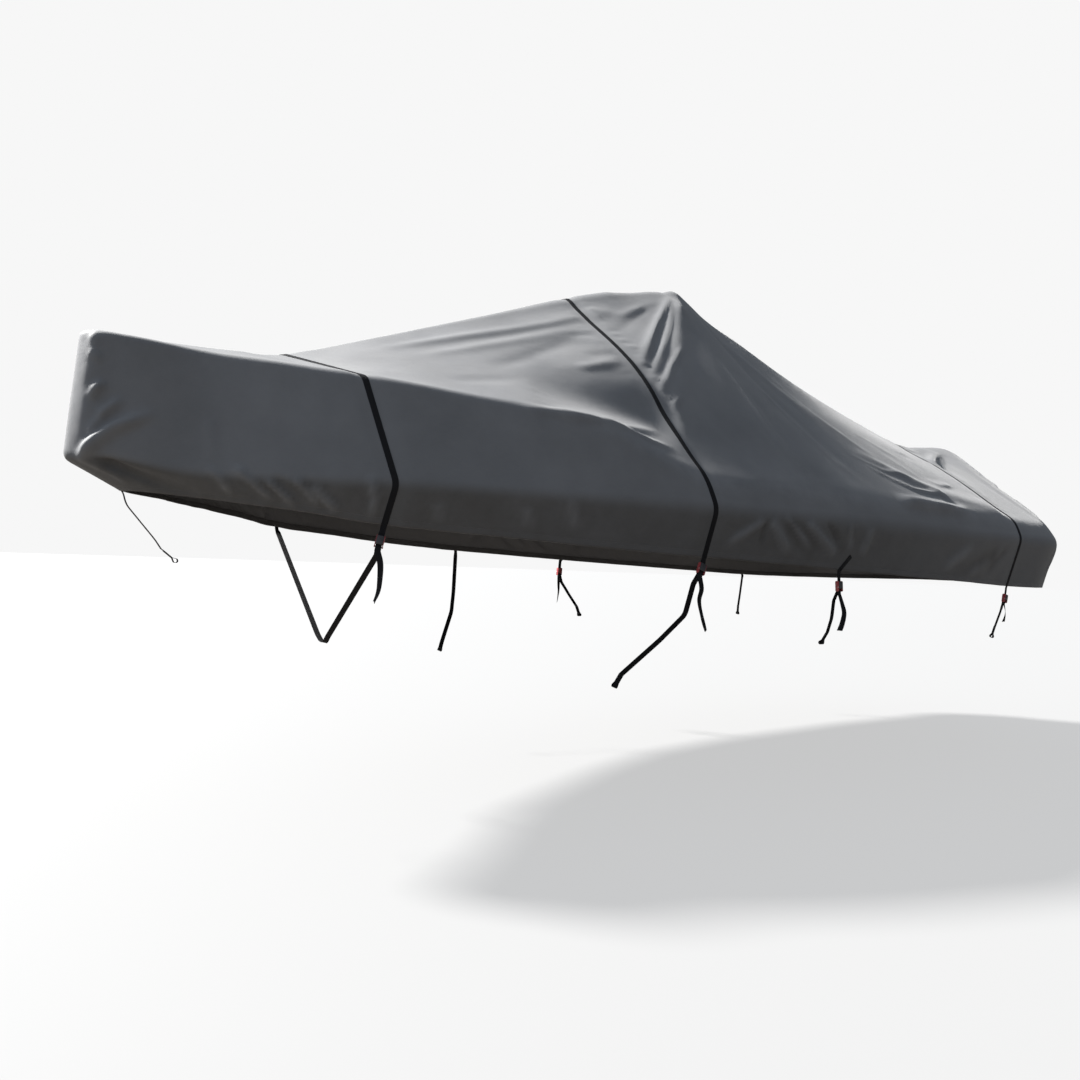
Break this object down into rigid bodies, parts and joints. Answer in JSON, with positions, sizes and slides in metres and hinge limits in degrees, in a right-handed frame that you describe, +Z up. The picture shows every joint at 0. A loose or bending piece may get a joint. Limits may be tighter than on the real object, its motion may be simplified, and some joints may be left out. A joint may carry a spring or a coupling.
{
  "type": "fitted boat cover with tie-down straps",
  "caption": "Hollow fitted cloth cover for an open boat on a trailer: pointed peak over the console, hump over the motor, skirt with a hem, webbing tie-downs and cam buckles.",
  "frame": {"origin": "inner face of the cloth at the top of the peak, where the covered boat's console or support pole holds it up", "axes": "+X aft along the cover's length, +Y to starboard, +Z up"},
  "size_m": [6.3871, 2.3873, 2.1911],
  "materials": {
    "cover_cloth": "charcoal grey woven polyester, coated, dull with a faint sheen",
    "webbing": "black flat woven webbing, dull",
    "buckle_frame": "dull red coating on a pressed frame",
    "buckle_lever": "dark moulded lever"
  },
  "bodies": {
    "root": {"bow_strap": "webbing", "cover_shell": "cover_cloth", "fore_buckle_frame": "buckle_frame", "fore_buckle_lever": "buckle_lever", "fore_strap": "webbing", "mid_buckle_frame": "buckle_frame", "mid_buckle_lever": "buckle_lever", "mid_leg_port": "webbing", "mid_strap": "webbing", "quarter_leg_port": "webbing", "quarter_leg_starboard": "webbing", "quarter_port_buckle_frame": "buckle_frame", "quarter_port_buckle_lever": "buckle_lever", "quarter_starboard_buckle_frame": "buckle_frame", "quarter_starboard_buckle_lever": "buckle_lever", "quarter_strap_port": "webbing", "quarter_strap_starboard": "webbing", "stern_buckle_frame": "buckle_frame", "stern_buckle_lever": "buckle_lever", "stern_leg_port": "webbing", "stern_strap": "webbing"}
  },
  "joints": []
}
